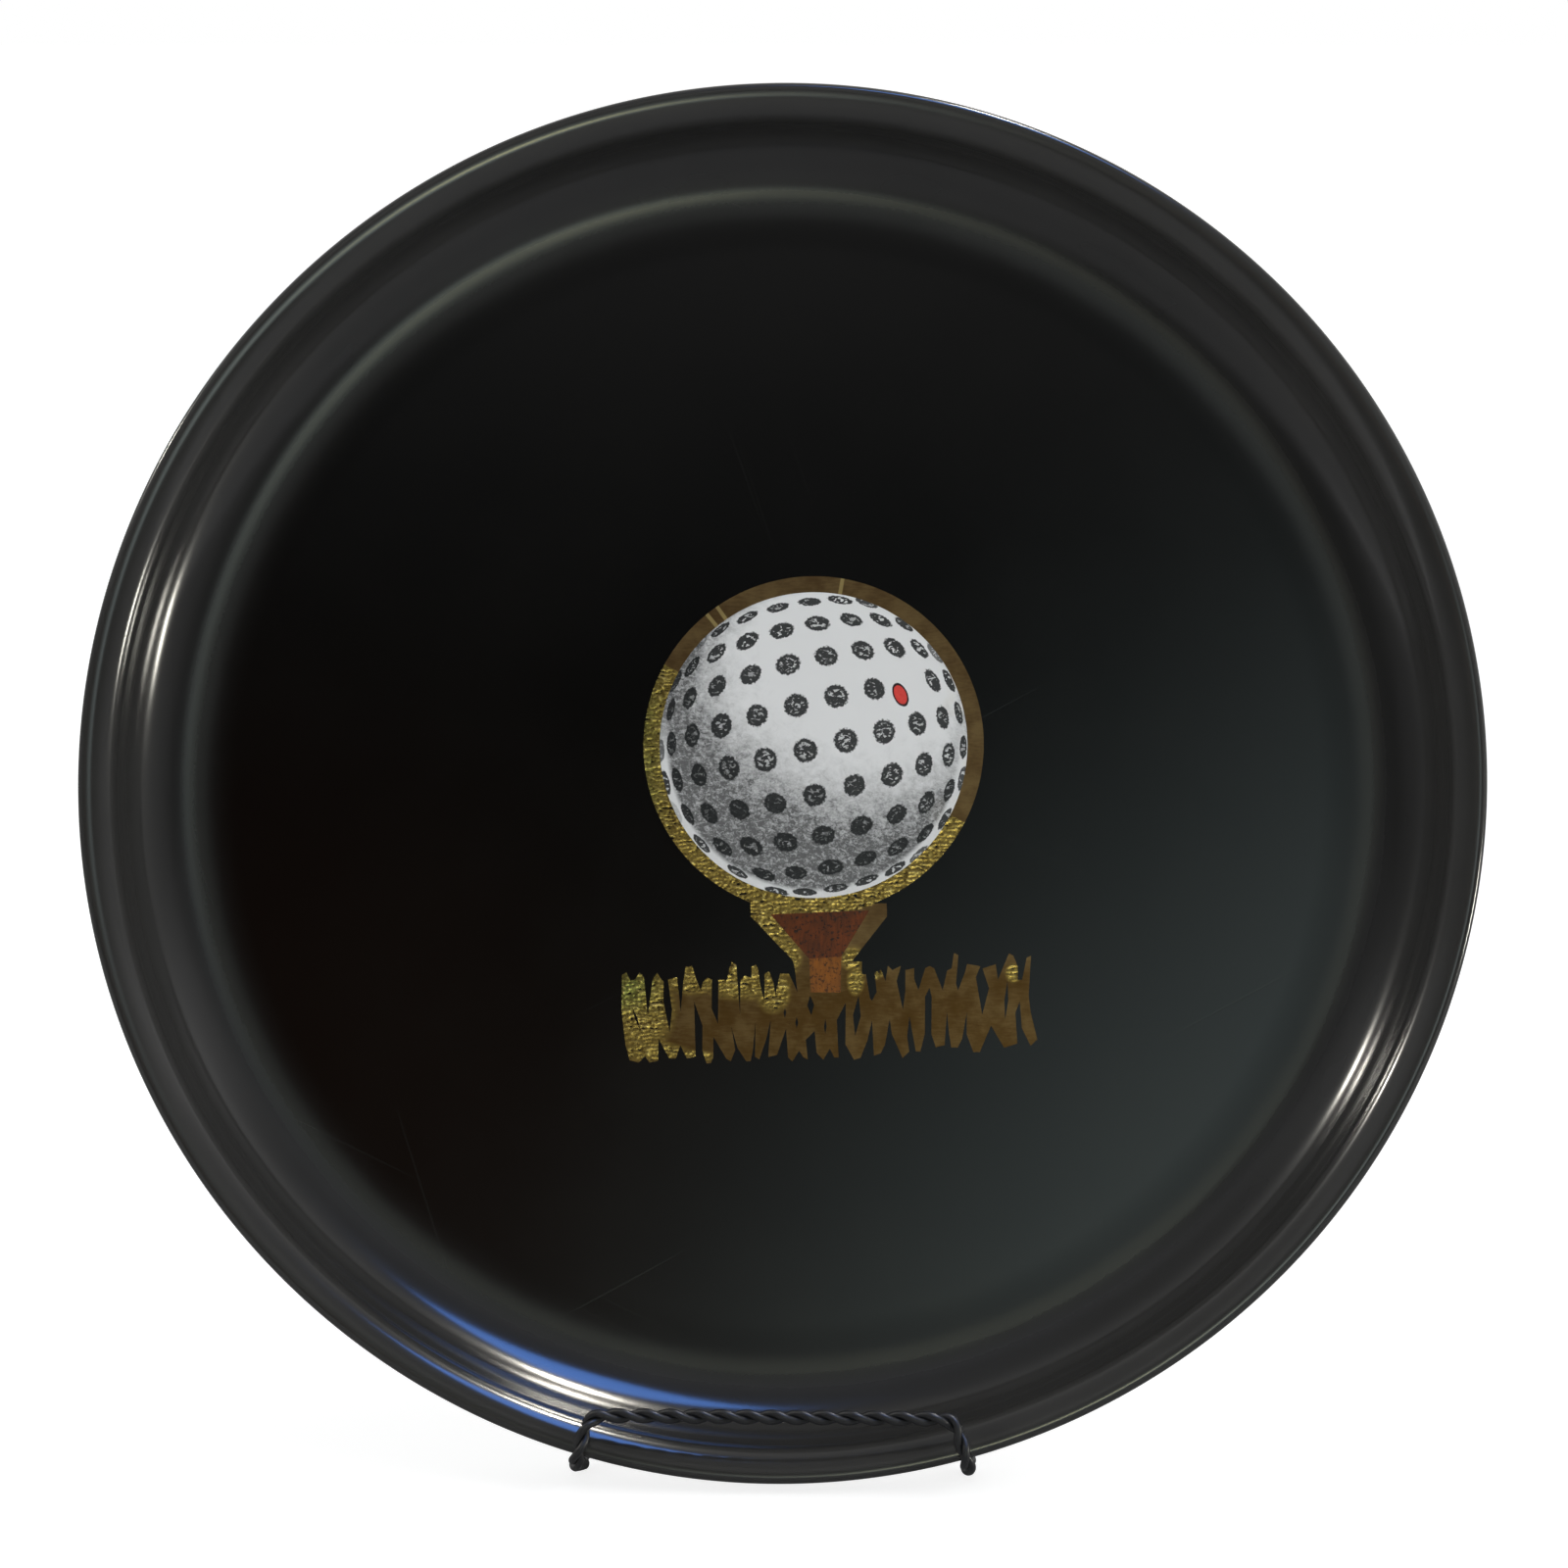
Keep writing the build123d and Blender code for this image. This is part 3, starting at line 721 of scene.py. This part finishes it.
def studio_world():
    """Bright overhead and behind, dim in front, so that the well stays black; white to the eye."""
    world = bpy.data.worlds.new("studio")
    world.use_nodes = True
    tree = world.node_tree
    split = tree.nodes.new("ShaderNodeSeparateXYZ")
    tree.links.new(tree.nodes.new("ShaderNodeTexCoord").outputs["Generated"], split.inputs[0])
    right, back, up = (Value(tree, split.outputs[i]) for i in range(3))

    def towards(azimuth, elevation, near, far):
        """1 within near degrees of a direction, 0 beyond far; azimuth 0 is in front, + is right."""
        azimuth, elevation = radians(azimuth), radians(elevation)
        level = right * (sin(azimuth) * cos(elevation)) + up * sin(elevation)
        level = level - back * (cos(azimuth) * cos(elevation))
        return level.step(cos(radians(far)), cos(radians(near)))

    dim = up.step(0.36, 0.66) * 0.75 - up.step(0.48, 0.72) * 0.50 + back.step(-0.35, 0.6) * 0.45 + 0.008
    dim = dim + right.math("ABSOLUTE").step(0.35, 0.95) * 0.12 + right.step(0.30, 0.95) * 0.20
    window = towards(20, 2, 6, 29.5) * right.step(0.15, 0.29).flipped() * 2.7
    rust = towards(-9, 15, 2, 9) * 0.08
    colour = tree.nodes.new("ShaderNodeCombineColor")
    for slot, cool, warm in zip(colour.inputs, (0.83, 1.0, 1.0), (1.0, 0.38, 0.18)):
        feed(tree, slot, dim + window * cool + rust * warm)
    sky = tree.nodes.new("ShaderNodeBackground")
    tree.links.new(colour.outputs[0], sky.inputs["Color"])
    seen = tree.nodes.new("ShaderNodeBackground")
    seen.inputs["Color"].default_value = (1.0, 1.0, 1.0, 1.0)
    chosen = tree.nodes.new("ShaderNodeMixShader")
    tree.links.new(tree.nodes.new("ShaderNodeLightPath").outputs["Is Camera Ray"], chosen.inputs[0])
    tree.links.new(sky.outputs[0], chosen.inputs[1])
    tree.links.new(seen.outputs[0], chosen.inputs[2])
    tree.links.new(chosen.outputs[0], tree.nodes["World Output"].inputs[0])
    bpy.context.scene.world = world


def softbox(name, clock, tilt, distance, width, height, watts, colour, glossy=True, diffuse=True):
    """An area light: clock is its angle on the tray's face, tilt how far it is off the axis."""
    clock, tilt = radians(clock), radians(tilt)
    way = (across * cos(clock) + upward * sin(clock)) * sin(tilt) + outward * cos(tilt)
    lamp = bpy.data.lights.new(name, "AREA")
    lamp.shape, lamp.size, lamp.size_y = "RECTANGLE", width, height
    lamp.energy, lamp.color = watts, colour
    light = bpy.data.objects.new(name, lamp)
    bpy.context.scene.collection.objects.link(light)
    light.location = well_centre + way * distance
    light.rotation_euler = way.to_track_quat("Z", "Y").to_euler()
    light.visible_camera = False
    light.visible_glossy = glossy
    light.visible_diffuse = diffuse


studio_world()
softbox("window_upper_left", 148, 80, 1.3, 0.06, 0.055, 3.0, (1.0, 0.96, 0.86), diffuse=False)
softbox("lamp_overhead", 76, 80, 1.3, 0.15, 0.11, 9, (1.0, 0.95, 0.84), diffuse=False)
softbox("sky_overhead", 77, 60, 6.0, 2.4, 1.7, 135, (0.12, 0.33, 1.0), diffuse=False)
softbox("window_right", 354, 78, 0.62, 0.030, 0.08, 1.0, (1.0, 0.98, 0.86), diffuse=False)
softbox("room_glow", 298, 7.5, 8.0, 0.60, 0.80, 15.0, (1.0, 0.94, 0.42), diffuse=False)
softbox("low_glow", 300, 66, 1.0, 0.30, 0.06, 1.3, (1.0, 0.94, 0.62), diffuse=False)
softbox("fill_left", 180, 62, 2.0, 1.2, 1.2, 23.0, (1.0, 1.0, 1.0), glossy=False)
softbox("fill_right", 20, 62, 2.0, 1.2, 1.2, 23.0, (1.0, 1.0, 1.0), glossy=False)


# ---------------------------------------------------------------- camera
def add_camera():
    """In front of the tray, a little to its right and a little below its axis."""
    pitch, yaw, distance = radians(6.5), radians(2.2), 1.2
    target = tray_frame @ Vector((0, 0, 8 * MM))
    way = tray_frame.to_3x3() @ Vector((sin(yaw) * cos(pitch), -sin(pitch), cos(yaw) * cos(pitch)))
    data = bpy.data.cameras.new("camera")
    focal_pixels, frame_pixels = 5397.5, 1600
    data.sensor_width = 36.0
    data.lens = focal_pixels / frame_pixels * data.sensor_width
    centre_x, centre_y = 796.6, 793.3
    data.shift_x = (frame_pixels / 2 - centre_x) / frame_pixels
    data.shift_y = (centre_y - frame_pixels / 2) / frame_pixels
    camera = bpy.data.objects.new("camera", data)
    bpy.context.scene.collection.objects.link(camera)
    camera.location = target + way * distance
    camera.rotation_euler = way.to_track_quat("Z", "Y").to_euler()
    bpy.context.scene.camera = camera


add_camera()
bpy.context.scene.view_settings.view_transform = "Standard"
